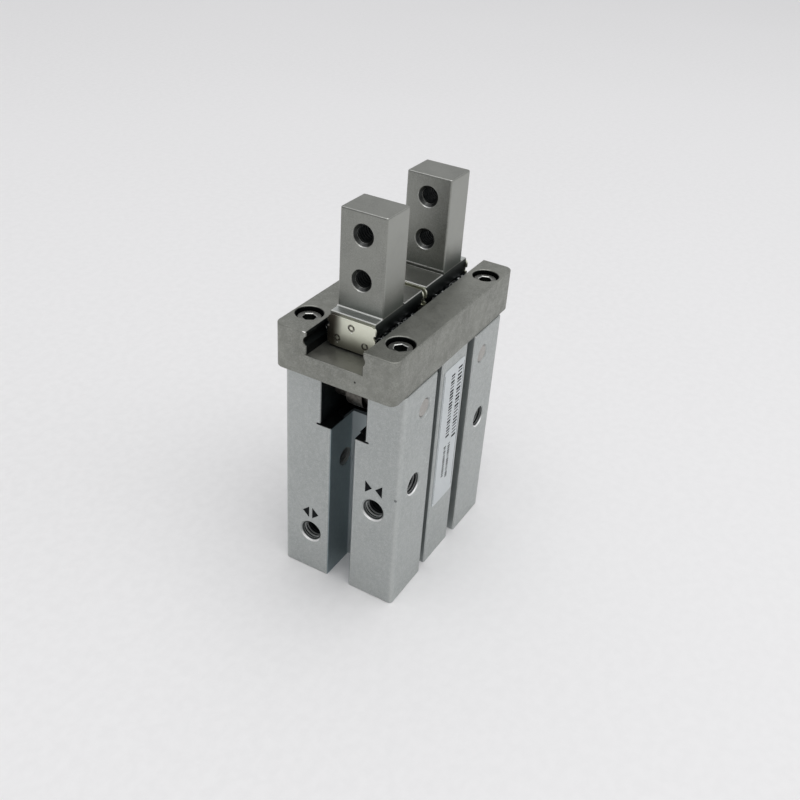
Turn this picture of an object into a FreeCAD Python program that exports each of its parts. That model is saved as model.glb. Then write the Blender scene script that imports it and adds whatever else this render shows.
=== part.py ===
import FreeCAD, Part
import math
import os
from FreeCAD import Vector as V

os.makedirs("parts", exist_ok=True)

# Double-acting parallel air gripper, 20 mm bore.
# Frame: origin at the centre of the body's bottom face, +Z towards the
# fingers, +X the way the fingers travel, air ports on the -X end face.
# All lengths in millimetres.  The fingers are drawn closed.

# ---- driving dimensions --------------------------------------------------
BODY_X, BODY_Y, BODY_H = 42.0, 27.6, 52.8     # body block
BODY_CORNER = 0.8                             # vertical corner radius
BODY_EDGE = 0.25                              # top and bottom edge break
GROOVE_IN, GROOVE_OUT = 5.5, 8.4              # sensor grooves, |x| limits
GROOVE_DEPTH = 4.0
PANEL_RECESS = 0.4                            # centre panel set back
CHANNEL_HALF, CHANNEL_IN = 2.8, 12.3          # end channels: half width, inner |x|
POCKET_HALF, POCKET_Z = 5.3, 40.0             # lever pocket half width and floor
POCKET_STEP = 0.55                            # outer part of the floor is lower

BORE_R, BORE_TOP = 10.0, 26.0                 # cylinder bore
ROD_R, ROD_HOLE_R = 3.0, 3.1
SEAL_R, SEAL_Z = 5.0, 33.5                    # rod seal recess
LOCATE_R, LOCATE_D = 10.5, 1.5                # locating recess under the body
RING_GROOVE_R, RING_Z0, RING_Z1 = 11.0, 1.9, 3.25

GUIDE_X, GUIDE_Y, GUIDE_H = 50.0, 27.0, 9.5   # linear guide block
GUIDE_CORNER, GUIDE_EDGE = 1.7, 0.25
SLOT_HALF, SLOT_DEPTH = 6.2, 4.9              # guide slot
WINDOW_IN, WINDOW_OUT, WINDOW_HALF = 8.3, 17.5, 2.6
SCREW_X, SCREW_Y = 18.0, 10.2                 # guide screws, M3
SCREW_CB_R, SCREW_CB_Z = 2.8, 58.45           # counterbore radius and floor
SCREW_HEAD_R, SCREW_HEAD_H = 2.65, 3.0

FINGER_X0, FINGER_X1 = 8.15, 16.15            # upright, closed, |x| limits
FINGER_Y, FINGER_TOP = 10.0, 84.8
CARRIAGE_X0, CARRIAGE_X1 = 0.85, 18.55
CARRIAGE_Z0, CARRIAGE_Z1 = 57.6, 64.8
FINGER_HOLES = (71.3, 80.3)                   # heights of the M4 threads
FOOT_STEP, RELIEF = 0.18, 0.25                # at the feet of the uprights
FINGER_TRAVEL = 5.0                           # each side
BALL_R, BALL_PITCH, BALL_COUNT = 1.2, 2.42, 6
BALL_Y, BALL_Z, RACE_R = 5.6, 60.4, 1.25

PIVOT_X, PIVOT_Z, SHAFT_R = 12.9, 46.7, 2.0   # lever shafts
ARM_UP, ARM_IN = 13.3, 9.3                    # lever arms
LEVER_HALF = 1.85                             # half thickness of the plate
LOBE_R, LOBE_FIT = 2.0, 0.03                  # upper lobe in the finger socket
ROLLER_R, ROLLER_FIT = 1.5, 0.03              # needle rollers on the rod spool
THETA0 = math.asin(0.5 * FINGER_TRAVEL / ARM_UP)
STROKE = 2.0 * ARM_IN * math.sin(THETA0)      # piston stroke
ROLLER_Z = PIVOT_Z - ARM_IN * math.sin(THETA0)

PISTON_R, PISTON_Z0, PISTON_Z1 = 9.9, 11.8, 19.8
CAP_R, CAP_Z0, CAP_Z1 = 9.95, 3.25, 9.0
SPOOL_R, SPOOL_T, NECK_R = 5.0, 2.0, 2.0

M5 = dict(rmin=2.1, rmaj=2.5, pitch=0.8)
M4 = dict(rmin=1.65, rmaj=2.0, pitch=0.7)
PORT_OPEN = (7.3, 10.5, 6.5)                  # y, z, depth: opening port
PORT_CLOSE = (-7.9, 23.5, 6.1)                # y, z, depth: closing port
PASSAGE_R = 0.9
SIDE_THREAD_X, SIDE_THREAD_Z = 15.0, 29.2
BASE_THREAD_X, BASE_THREAD_Y, BASE_THREAD_D = 16.0, 8.5, 6.5

X, Y, Z = V(1, 0, 0), V(0, 1, 0), V(0, 0, 1)
O = V(0, 0, 0)


# ---- helpers -------------------------------------------------------------
def box(x0, x1, y0, y1, z0, z1):
    return Part.makeBox(x1 - x0, y1 - y0, z1 - z0, V(x0, y0, z0))


def cyl(r, h, p, d=Z):
    return Part.makeCylinder(r, h, p, d)


def prism(points, direction):
    wire = Part.makePolygon([V(*p) for p in points] + [V(*points[0])])
    return Part.Face(wire).extrude(direction)


def turned(profile, p=O, d=Z):
    """Solid of revolution from (radius, height) pairs about the axis at p."""
    wire = Part.makePolygon([V(r, 0, s) for r, s in profile]
                            + [V(profile[0][0], 0, profile[0][1])])
    solid = Part.Face(wire).revolve(O, Z, 360)
    solid = Part.Solid(solid.Shells[0]) if solid.ShapeType != "Solid" else solid
    if solid.Volume < 0:
        solid.reverse()
    solid.Placement = FreeCAD.Placement(p, FreeCAD.Rotation(Z, d))
    return solid


def tapped(p, d, depth, size, mouth, tip=True, both=False, grooves=None):
    """Cutter for a threaded hole: ring-shaped thread grooves at the minor
    diameter, a countersunk mouth at p, running along d into the metal."""
    rmin, rmaj, pitch = size["rmin"], size["rmaj"], size["pitch"]
    c = mouth - rmin
    prof = [(0, -0.4), (mouth + 0.4, -0.4), (rmin, c)]
    end = depth - (c if both else 0.0)
    s = c + 0.12
    flank = pitch - 0.2
    n = 0
    while s + flank < end - 0.25 and (grooves is None or n < grooves):
        prof += [(rmin, s), (rmaj, s + 0.5 * flank - 0.04),
                 (rmaj, s + 0.5 * flank + 0.04), (rmin, s + flank)]
        s += pitch
        n += 1
    prof.append((rmin, end))
    if both:
        prof += [(mouth + 0.4, depth + 0.4), (0, depth + 0.4)]
    elif tip:
        prof.append((0, end + 0.6 * rmin))
    else:
        prof.append((0, end))
    return turned(prof, p, d)


def vertical_edges(shape):
    return [e for e in shape.Edges
            if abs(e.Vertexes[0].X - e.Vertexes[-1].X) < 1e-6
            and abs(e.Vertexes[0].Y - e.Vertexes[-1].Y) < 1e-6]


def rounded_block(x0, x1, y0, y1, z0, z1, corner, edge):
    block = box(x0, x1, y0, y1, z0, z1)
    block = block.makeFillet(corner, vertical_edges(block))
    rim = [e for e in block.Edges
           if all(abs(v.Z - z0) < 1e-6 for v in e.Vertexes)
           or all(abs(v.Z - z1) < 1e-6 for v in e.Vertexes)]
    return block.makeFillet(edge, rim)


def clean(shape):
    shape = shape.removeSplitter()
    solids = shape.Solids
    return solids[0] if len(solids) == 1 else Part.makeCompound(solids)


def mirrored(shape):
    return shape.mirror(O, X)


PARTS = {}


def add(name, *shapes):
    solids = []
    for s in shapes:
        solids += s.Solids
    for s in solids:
        assert s.isValid() and s.Volume > 0, name
    PARTS[name] = solids


# ---- body ----------------------------------------------------------------
hx, hy = BODY_X / 2, BODY_Y / 2
body = rounded_block(-hx, hx, -hy, hy, 0, BODY_H, BODY_CORNER, BODY_EDGE)
cuts = []
flare = 0.3
for sy in (-1, 1):
    yo, yi = sy * (hy + 1), sy * (hy - GROOVE_DEPTH)
    face = sy * hy
    inner_face = sy * (hy - PANEL_RECESS)
    for sx in (-1, 1):
        # sensor groove with softened mouth
        cuts.append(prism([(sx * GROOVE_IN, yi, -1), (sx * GROOVE_OUT, yi, -1),
                           (sx * GROOVE_OUT, face - sy * flare, -1),
                           (sx * (GROOVE_OUT + flare), face, -1),
                           (sx * (GROOVE_OUT + flare), yo, -1),
                           (sx * (GROOVE_IN - flare), yo, -1),
                           (sx * (GROOVE_IN - flare), inner_face, -1),
                           (sx * GROOVE_IN, inner_face - sy * flare, -1)],
                          V(0, 0, BODY_H + 2)))
    # centre panel set back a little
    y0, y1 = sorted((yo, inner_face))
    cuts.append(box(-GROOVE_IN - 0.1, GROOVE_IN + 0.1, y0, y1, -1, BODY_H + 1))
for sx in (-1, 1):
    # end channel with softened mouth
    f = 0.35
    w = CHANNEL_HALF
    cuts.append(prism([(sx * CHANNEL_IN, -w, -1), (sx * (hx - f), -w, -1),
                       (sx * hx, -w - f, -1), (sx * (hx + 1), -w - f, -1),
                       (sx * (hx + 1), w + f, -1), (sx * hx, w + f, -1),
                       (sx * (hx - f), w, -1), (sx * CHANNEL_IN, w, -1)],
                      V(0, 0, POCKET_Z + 1)))
    # lower outer part of the pocket floor, stepped on a slant
    cuts.append(prism([(sx * (hx + 1), -sx * 5.3, POCKET_Z - POCKET_STEP),
                       (sx * (hx + 1), sx * 5.3, POCKET_Z - POCKET_STEP),
                       (sx * 19.9, sx * 5.3, POCKET_Z - POCKET_STEP),
                       (sx * 15.0, -sx * 5.3, POCKET_Z - POCKET_STEP)],
                      V(0, 0, 2)))
    # cutter relief at the foot of the pocket walls
    x0, x1 = sorted((sx * 18.6, sx * (hx + 1)))
    cuts.append(box(x0, x1, -POCKET_HALF - 0.9, POCKET_HALF + 0.9,
                    POCKET_Z - POCKET_STEP, POCKET_Z - 0.05))
# lever pocket, full length, with a small flare at its end mouths
cuts.append(box(-hx - 1, hx + 1, -POCKET_HALF, POCKET_HALF, POCKET_Z, BODY_H + 1))
for sx in (-1, 1):
    cuts.append(prism([(sx * (hx - 0.3), -POCKET_HALF, POCKET_Z),
                       (sx * (hx + 0.2), -POCKET_HALF - 0.5, POCKET_Z),
                       (sx * (hx + 0.2), POCKET_HALF + 0.5, POCKET_Z),
                       (sx * (hx - 0.3), POCKET_HALF, POCKET_Z)],
                      V(0, 0, BODY_H)))
# cylinder bore from below, ring groove, locating recess, rod hole, seal recess
cuts.append(turned([(0, -1), (LOCATE_R + 0.3, -1), (LOCATE_R + 0.3, 0),
                    (LOCATE_R, 0.3), (LOCATE_R, LOCATE_D), (BORE_R, LOCATE_D),
                    (BORE_R, RING_Z0), (RING_GROOVE_R, RING_Z0),
                    (RING_GROOVE_R, RING_Z1), (BORE_R, RING_Z1),
                    (BORE_R, BORE_TOP), (ROD_HOLE_R, BORE_TOP),
                    (ROD_HOLE_R, SEAL_Z), (SEAL_R, SEAL_Z),
                    (SEAL_R, 38.2), (SEAL_R + 0.5, 38.2),
                    (SEAL_R + 0.5, 39.2), (SEAL_R, 39.2),
                    (SEAL_R, POCKET_Z + 1), (0, POCKET_Z + 1)]))
# ports and their passages
for py, pz, deep in (PORT_OPEN, PORT_CLOSE):
    cuts.append(tapped(V(-hx, py, pz), X, deep, M5, 2.75, tip=False))
    xb = -math.sqrt(BORE_R ** 2 - py ** 2)
    cuts.append(cyl(PASSAGE_R, xb + 0.6 + hx - deep + 0.3,
                    V(-hx + deep - 0.3, py, pz), X))
# side mounting threads, through each leg into the end channel
for sy in (-1, 1):
    for sx in (-1, 1):
        cuts.append(tapped(V(sx * SIDE_THREAD_X, sy * hy, SIDE_THREAD_Z),
                           V(0, -sy, 0), hy - CHANNEL_HALF + 0.3, M5, 2.65,
                           tip=False))
# mounting threads underneath
for sx in (-1, 1):
    for sy in (-1, 1):
        cuts.append(tapped(V(sx * BASE_THREAD_X, sy * BASE_THREAD_Y, 0), Z,
                           BASE_THREAD_D, M5, 2.65, tip=False))
# guide screw holes and lever shaft holes
for sx in (-1, 1):
    for sy in (-1, 1):
        cuts.append(cyl(1.52, 9.5, V(sx * SCREW_X, sy * SCREW_Y, BODY_H - 9)))
    for sy in (-1, 1):
        cuts.append(turned([(0, -0.5), (SHAFT_R + 0.31, -0.5), (SHAFT_R + 0.31, 0),
                            (SHAFT_R + 0.01, 0.3), (SHAFT_R + 0.01, 9.2), (0, 9.2)],
                           V(sx * PIVOT_X, sy * hy, PIVOT_Z), V(0, -sy, 0)))
for c in cuts:
    body = body.cut(c)
add("body", clean(body))

# ---- guide ---------------------------------------------------------------
g0, g1 = BODY_H, BODY_H + GUIDE_H
gx, gy = GUIDE_X / 2, GUIDE_Y / 2
floor = g1 - SLOT_DEPTH
guide = rounded_block(-gx, gx, -gy, gy, g0, g1, GUIDE_CORNER, GUIDE_EDGE)
gcuts = [prism([(-gx - 1, -SLOT_HALF, floor), (-gx - 1, SLOT_HALF, floor),
                (-gx - 1, SLOT_HALF, g1 - 0.25), (-gx - 1, SLOT_HALF + 0.25, g1),
                (-gx - 1, SLOT_HALF + 0.25, g1 + 1),
                (-gx - 1, -SLOT_HALF - 0.25, g1 + 1),
                (-gx - 1, -SLOT_HALF - 0.25, g1), (-gx - 1, -SLOT_HALF, g1 - 0.25)],
               V(GUIDE_X + 2, 0, 0))]
for sy in (-1, 1):
    gcuts.append(cyl(RACE_R, GUIDE_X + 2, V(-gx - 1, sy * BALL_Y, BALL_Z), X))
for sx in (-1, 1):
    a, b = sorted((sx * WINDOW_IN, sx * WINDOW_OUT))
    gcuts.append(box(a, b, -WINDOW_HALF, WINDOW_HALF, g0 - 1, floor + 1))
    # softened end mouths of the slot
    gcuts.append(prism([(sx * (gx - 0.3), -SLOT_HALF, floor),
                        (sx * (gx + 0.2), -SLOT_HALF - 0.5, floor),
                        (sx * (gx + 0.2), SLOT_HALF + 0.5, floor),
                        (sx * (gx - 0.3), SLOT_HALF, floor)], V(0, 0, 10)))
    for sy in (-1, 1):
        gcuts.append(turned([(0, -1), (1.7, -1), (1.7, SCREW_CB_Z - g0),
                             (SCREW_CB_R, SCREW_CB_Z - g0),
                             (SCREW_CB_R, GUIDE_H - 0.2),
                             (SCREW_CB_R + 0.2, GUIDE_H),
                             (SCREW_CB_R + 0.2, GUIDE_H + 1), (0, GUIDE_H + 1)],
                            V(sx * SCREW_X, sy * SCREW_Y, g0)))
for c in gcuts:
    guide = guide.cut(c)
add("guide", clean(guide))

# ---- guide screws, M3 socket head ----------------------------------------
screws = []
for sx in (-1, 1):
    for sy in (-1, 1):
        z0 = SCREW_CB_Z
        s = turned([(0, -13.3), (1.1, -13.3), (1.5, -12.9), (1.5, 0),
                    (SCREW_HEAD_R, 0), (SCREW_HEAD_R, SCREW_HEAD_H - 0.35),
                    (SCREW_HEAD_R - 0.35, SCREW_HEAD_H),
                    (0, SCREW_HEAD_H)], V(sx * SCREW_X, sy * SCREW_Y, z0))
        turn = 0.35 + 0.8 * (sx + 1) + 0.4 * (sy + 1)
        top = z0 + SCREW_HEAD_H

        def hexagon(flats, z):
            r = flats / math.sqrt(3)
            return [(sx * SCREW_X + r * math.cos(turn + k * math.pi / 3),
                     sy * SCREW_Y + r * math.sin(turn + k * math.pi / 3), z)
                    for k in range(6)]

        s = s.cut(prism(hexagon(2.5, top - 1.4), V(0, 0, 3)))
        rim = [Part.makePolygon([V(*q) for q in ring + ring[:1]])
               for ring in (hexagon(2.4, top - 0.17), hexagon(2.88, top + 0.07))]
        s = s.cut(Part.makeLoft(rim, True, True))
        screws.append(clean(s))
add("guide_screws", *screws)

# ---- lever shafts --------------------------------------------------------
shafts = []
for sx in (-1, 1):
    shafts.append(turned([(0, 0), (SHAFT_R - 0.18, 0), (SHAFT_R, 0.18),
                          (SHAFT_R, 27.02), (SHAFT_R - 0.18, 27.2), (0, 27.2)],
                         V(sx * PIVOT_X, -13.6, PIVOT_Z), Y))
add("lever_shafts", *shafts)

# ---- lower end of the cylinder -------------------------------------------
add("end_cap", turned([(0, 5.2), (6.2, 5.2), (6.6, 4.8), (6.6, CAP_Z0),
                       (CAP_R - 0.3, CAP_Z0), (CAP_R, CAP_Z0 + 0.3),
                       (CAP_R, 5.5), (8.55, 5.5), (8.55, 7.3), (CAP_R, 7.3),
                       (CAP_R, CAP_Z1 - 0.4), (CAP_R - 0.4, CAP_Z1),
                       (6.1, CAP_Z1), (6.1, CAP_Z1 - 0.8), (0, CAP_Z1 - 0.8)]))
add("cap_seal", turned([(8.6, 5.9), (8.9, 5.55), (9.65, 5.55), (9.98, 5.95),
                        (9.98, 6.85), (9.65, 7.25), (8.9, 7.25), (8.6, 6.9)]))
ring = cyl(10.85, 1.2, V(0, 0, 2.0)).cut(cyl(8.9, 2, V(0, 0, 1.5)))
gap = prism([(0, 0, 1), (-3.0, 12, 1), (3.0, 12, 1)], V(0, 0, 4))
ring = ring.cut(gap)
lugs = []
for s in (-1, 1):
    lx, ly = s * 3.55, 8.15
    lug = cyl(1.45, 1.2, V(lx, ly, 2.0))
    ring = ring.fuse(lug)
    lugs.append(cyl(0.7, 3, V(lx, ly, 1)))
for l in lugs:
    ring = ring.cut(l)
add("retaining_ring", clean(ring))
add("lower_bumper", turned([(3.6, 8.2), (6.05, 8.2), (6.05, 11.3), (5.6, PISTON_Z0 - 0.02),
                            (4.0, PISTON_Z0 - 0.02), (3.6, 11.4)]))
add("upper_bumper", turned([(3.35, BORE_TOP), (6.05, BORE_TOP), (6.05, 23.9),
                            (5.6, PISTON_Z1 + STROKE + 0.05),
                            (3.8, PISTON_Z1 + STROKE + 0.05), (3.35, 23.9)]))

# ---- rod seal ------------------------------------------------------------
add("rod_seal", turned([(3.25, SEAL_Z), (4.97, SEAL_Z), (4.97, 36.0), (4.3, 36.0),
                        (4.1, 35.0), (3.7, 35.0), (3.4, 36.0), (3.03, 35.9),
                        (3.03, 34.4)]))
add("rod_seal_holder", turned([(3.03, 36.05), (4.97, 36.05), (4.97, 38.15),
                               (3.35, 38.15), (3.03, 37.85)]))
lock = cyl(5.42, 0.9, V(0, 0, 38.25)).cut(cyl(3.9, 2, V(0, 0, 37.8)))
lock = lock.cut(prism([(0, 0, 37), (-2.2, 7, 37), (2.2, 7, 37)], V(0, 0, 4)))
add("holder_lock", clean(lock))

# ---- label on the centre panel -------------------------------------------
lx0, lx1, lz0, lz1, ly = -4.5, 4.6, 15.4, 50.3, -hy + PANEL_RECESS
label = box(lx0, lx1, ly - 0.12, ly, lz0, lz1)
label = label.makeFillet(1.0, [e for e in label.Edges
                               if e.Length < 0.2
                               and abs(e.Vertexes[0].Y - e.Vertexes[-1].Y) > 0.1])
add("label", label)

# ---- fingers -------------------------------------------------------------
fy = FINGER_Y / 2


def finger():
    up = box(FINGER_X0, FINGER_X1, -fy, fy, CARRIAGE_Z0 + 3, FINGER_TOP)
    edges = [e for e in up.Edges
             if not all(abs(v.Z - (CARRIAGE_Z0 + 3)) < 1e-6 for v in e.Vertexes)]
    up = up.makeFillet(0.4, edges)
    car = box(CARRIAGE_X0, CARRIAGE_X1, -fy, fy, CARRIAGE_Z0, CARRIAGE_Z1)
    edges = [e for e in car.Edges
             if all(abs(v.Z - CARRIAGE_Z1) < 1e-6 for v in e.Vertexes)]
    car = car.makeChamfer(0.15, edges)
    f = up.fuse(car)
    # 45 degree step at the outer foot of the upright
    f = f.fuse(prism([(FINGER_X1 - 0.1, -fy, CARRIAGE_Z1 - 0.1),
                      (FINGER_X1 + FOOT_STEP + 0.1, -fy, CARRIAGE_Z1 - 0.1),
                      (FINGER_X1, -fy, CARRIAGE_Z1 + FOOT_STEP),
                      (FINGER_X1 - 0.1, -fy, CARRIAGE_Z1 + FOOT_STEP)],
                     V(0, 2 * fy, 0)))
    # grinding relief in the corner at the inner foot
    r0, r1 = FINGER_X0 - RELIEF, FINGER_X0
    f = f.cut(prism([(r0, -fy - 1, CARRIAGE_Z1 + 0.01),
                     (r0, -fy - 1, CARRIAGE_Z1 - RELIEF),
                     (r1 + RELIEF, -fy - 1, CARRIAGE_Z1 - RELIEF),
                     (r1 + RELIEF, -fy - 1, CARRIAGE_Z1 + RELIEF),
                     (r1, -fy - 1, CARRIAGE_Z1 + 2 * RELIEF),
                     (r1 - 0.01, -fy - 1, CARRIAGE_Z1 + 2 * RELIEF)],
                    V(0, 2 * fy + 2, 0)))
    for sy in (-1, 1):
        f = f.cut(cyl(RACE_R, 30, V(-3, sy * BALL_Y, BALL_Z), X))
    # socket for the lever's upper lobe
    sx = PIVOT_X - 0.5 * FINGER_TRAVEL
    w = LOBE_R + LOBE_FIT
    f = f.cut(box(sx - w, sx + w, -LEVER_HALF - 0.25, LEVER_HALF + 0.25,
                  CARRIAGE_Z0 - 1, 62.3))
    for z in FINGER_HOLES:
        f = f.cut(tapped(V(FINGER_X1, 0, z), V(-1, 0, 0), FINGER_X1 - FINGER_X0,
                         M4, 2.3, both=True))
    return clean(f)


def stopper(x0, t, top, dimple):
    """Sheet-steel stopper that closes the end of the ball races."""
    w, z0, z1, r = 5.3, 57.8, top, 1.2
    p = box(x0, x0 + t, -w, w, z0, z1)
    p = p.makeFillet(r, [e for e in p.Edges
                         if abs(e.Vertexes[0].X - e.Vertexes[-1].X) > 0.9 * t])
    for sy in (-1, 1):
        y0, y1 = sorted((sy * (w - 0.4), sy * (w + 1)))
        p = p.cut(box(x0 - 1, x0 + t + 1, y0, y1, 61.6, 62.5))
    if dimple:
        for y, z in ((0, 62.6), (-3.1, 59.65), (3.1, 59.65)):
            # ring-shaped weld mark pressed into the outer face
            mark = turned([(0.42, -0.2), (0.7, -0.2), (0.7, 0.3), (0.42, 0.3)],
                          V(x0 + t, y, z), X)
            p = p.cut(mark)
    return clean(p)


right = finger()
add("finger_right", right)
add("finger_left", mirrored(right))
outer = stopper(CARRIAGE_X1, 0.5, 64.3, True)
inner = stopper(CARRIAGE_X0 - 0.4, 0.4, 64.6, False)
add("finger_right_outer_stopper", outer)
add("finger_right_inner_stopper", inner)
add("finger_left_outer_stopper", mirrored(outer))
add("finger_left_inner_stopper", mirrored(inner))

balls_right, balls_left = [], []
for sy in (-1, 1):
    for k in range(BALL_COUNT):
        x = 17.2 - k * BALL_PITCH
        balls_right.append(Part.makeSphere(BALL_R, V(x, sy * BALL_Y, BALL_Z)))
        balls_left.append(Part.makeSphere(BALL_R, V(-x, sy * BALL_Y, BALL_Z)))
add("balls_right", *balls_right)
add("balls_left", *balls_left)


# ---- bell-crank levers ---------------------------------------------------
def lever_pieces():
    t, px, pz = LEVER_HALF, PIVOT_X, PIVOT_Z

    def plate(pts):
        return prism([(px + a, -t, pz + b) for a, b in pts], V(0, 2 * t, 0))

    lev = cyl(4.3, 2 * t, V(px, -t, pz), Y)
    lev = lev.fuse(plate([(-2.9, 0), (-2.6, 7.4), (-1.45, 10.2), (-1.45, ARM_UP),
                          (1.45, ARM_UP), (1.45, 10.2), (2.6, 7.4), (2.9, 0)]))
    lev = lev.fuse(cyl(LOBE_R, 2 * t, V(px, -t, pz + ARM_UP), Y))
    lev = lev.fuse(plate([(0, 2.9), (-4.5, 2.6), (-7.3, 1.2), (-ARM_IN, 1.1),
                          (-ARM_IN, -1.1), (-7.3, -1.2), (-4.5, -2.6), (0, -2.9)]))
    lev = lev.fuse(cyl(1.1, 2 * t, V(px - ARM_IN, -t, pz), Y))
    lev = lev.fuse(plate([(-2.6, 6.0), (-6.0, 2.0), (0, 0)]))
    lev = lev.fuse(cyl(3.3, 2 * (POCKET_HALF - 0.2), V(px, -POCKET_HALF + 0.2, pz), Y))
    lev = lev.cut(cyl(SHAFT_R + 0.03, 20, V(px, -10, pz), Y))
    lev = lev.cut(cyl(0.6, 20, V(px - ARM_IN, -10, pz), Y))
    lev = clean(lev)
    pin = turned([(0, -3.2), (0.5, -3.2), (0.6, -3.1), (0.6, 3.1), (0.5, 3.2), (0, 3.2)],
                 V(px - ARM_IN, 0, pz), Y)
    rollers = []
    for s in (-1, 1):
        y0 = 1.9 if s > 0 else -3.1
        rollers.append(turned([(0.62, 0), (ROLLER_R - 0.12, 0), (ROLLER_R, 0.12),
                               (ROLLER_R, 1.08), (ROLLER_R - 0.12, 1.2), (0.62, 1.2)],
                              V(px - ARM_IN, y0, pz), Y))
    out = []
    for s in [lev, pin] + rollers:
        s = s.copy()
        s.rotate(V(px, 0, pz), Y, -math.degrees(THETA0))
        out.append(s)
    return out


lev, pin, ra, rb = lever_pieces()
add("lever_right", lev)
add("lever_right_pin", pin)
add("lever_right_rollers", ra, rb)
add("lever_left", mirrored(lev))
add("lever_left_pin", mirrored(pin))
add("lever_left_rollers", mirrored(ra), mirrored(rb))

# ---- piston and rod ------------------------------------------------------
gw = ROLLER_R + ROLLER_FIT
z_lo, z_hi = ROLLER_Z - gw, ROLLER_Z + gw
rod = turned([(1.25, 14.65), (1.95, 14.65), (2.18, 14.9), (2.18, 17.2), (1.75, 17.2),
              (1.75, 18.2), (2.18, 18.2), (2.18, PISTON_Z1), (ROD_R, PISTON_Z1),
              (ROD_R, z_lo - SPOOL_T), (SPOOL_R - 0.3, z_lo - SPOOL_T),
              (SPOOL_R, z_lo - SPOOL_T + 0.3), (SPOOL_R, z_lo), (NECK_R, z_lo),
              (NECK_R, z_hi), (SPOOL_R, z_hi), (SPOOL_R, z_hi + SPOOL_T - 0.3),
              (SPOOL_R - 0.3, z_hi + SPOOL_T), (0, z_hi + SPOOL_T),
              (0, 22.4), (1.25, 21.6)])
add("piston_rod", rod)
add("piston", turned([(1.6, 13.9), (3.2, 13.9), (3.2, PISTON_Z0), (PISTON_R - 0.4, PISTON_Z0),
                      (PISTON_R, PISTON_Z0 + 0.4), (PISTON_R, 12.9), (8.0, 12.9),
                      (8.0, 15.1), (PISTON_R, 15.1), (PISTON_R, 16.3), (8.0, 16.3),
                      (8.0, 18.7), (PISTON_R, 18.7), (PISTON_R, PISTON_Z1 - 0.5),
                      (PISTON_R - 0.5, PISTON_Z1), (2.2, PISTON_Z1), (2.2, 14.6),
                      (1.6, 14.6)]))
add("piston_seal", turned([(8.02, 12.95), (9.6, 12.95), (9.97, 13.3), (9.97, 13.7),
                           (9.5, 14.0), (9.97, 14.3), (9.97, 14.7), (9.6, 15.05),
                           (8.02, 15.05)]))
add("magnet_ring", turned([(8.02, 16.35), (9.7, 16.35), (9.7, 18.65), (8.02, 18.65)]))
add("rod_o_ring", Part.makeTorus(1.97, 0.2, V(0, 0, 17.7)))
ps = turned([(0, 12.0), (2.4, 12.0), (2.75, 12.3), (2.75, 13.88), (1.22, 13.88),
             (1.22, 21.3), (0, 21.4)])
hexa = [(1.25 / math.cos(math.pi / 6) * math.cos(k * math.pi / 3),
         1.25 / math.cos(math.pi / 6) * math.sin(k * math.pi / 3), 11.5)
        for k in range(6)]
ps = ps.cut(prism(hexa, V(0, 0, 1.7)))
add("piston_screw", clean(ps))

# ---- write ---------------------------------------------------------------
for name, solids in PARTS.items():
    shape = solids[0] if len(solids) == 1 else Part.makeCompound(solids)
    shape.exportStep("parts/%s.step" % name)
print("parts", len(PARTS), "stroke", round(STROKE, 4), "theta", round(2 * THETA0, 5),
      "ratio", round(2 * THETA0 / STROKE * 1000, 4), round(FINGER_TRAVEL / STROKE, 5))
print("volume", {k: round(sum(s.Volume for s in v), 1) for k, v in PARTS.items()})
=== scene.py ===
import math
import random

import bmesh
import bpy
from mathutils import Matrix, Vector


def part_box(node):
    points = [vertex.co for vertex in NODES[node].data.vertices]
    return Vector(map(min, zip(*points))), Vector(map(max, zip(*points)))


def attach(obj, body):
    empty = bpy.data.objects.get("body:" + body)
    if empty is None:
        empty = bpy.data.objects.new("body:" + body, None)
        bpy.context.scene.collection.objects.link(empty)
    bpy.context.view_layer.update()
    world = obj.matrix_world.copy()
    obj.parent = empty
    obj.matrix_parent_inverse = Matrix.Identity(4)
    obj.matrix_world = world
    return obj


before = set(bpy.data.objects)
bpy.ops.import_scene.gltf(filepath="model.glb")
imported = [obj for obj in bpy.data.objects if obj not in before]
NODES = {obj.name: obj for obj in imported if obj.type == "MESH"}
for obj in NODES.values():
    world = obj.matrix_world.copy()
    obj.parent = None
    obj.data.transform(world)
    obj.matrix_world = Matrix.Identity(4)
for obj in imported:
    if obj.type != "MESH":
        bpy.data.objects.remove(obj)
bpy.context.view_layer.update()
MM = 0.001


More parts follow.
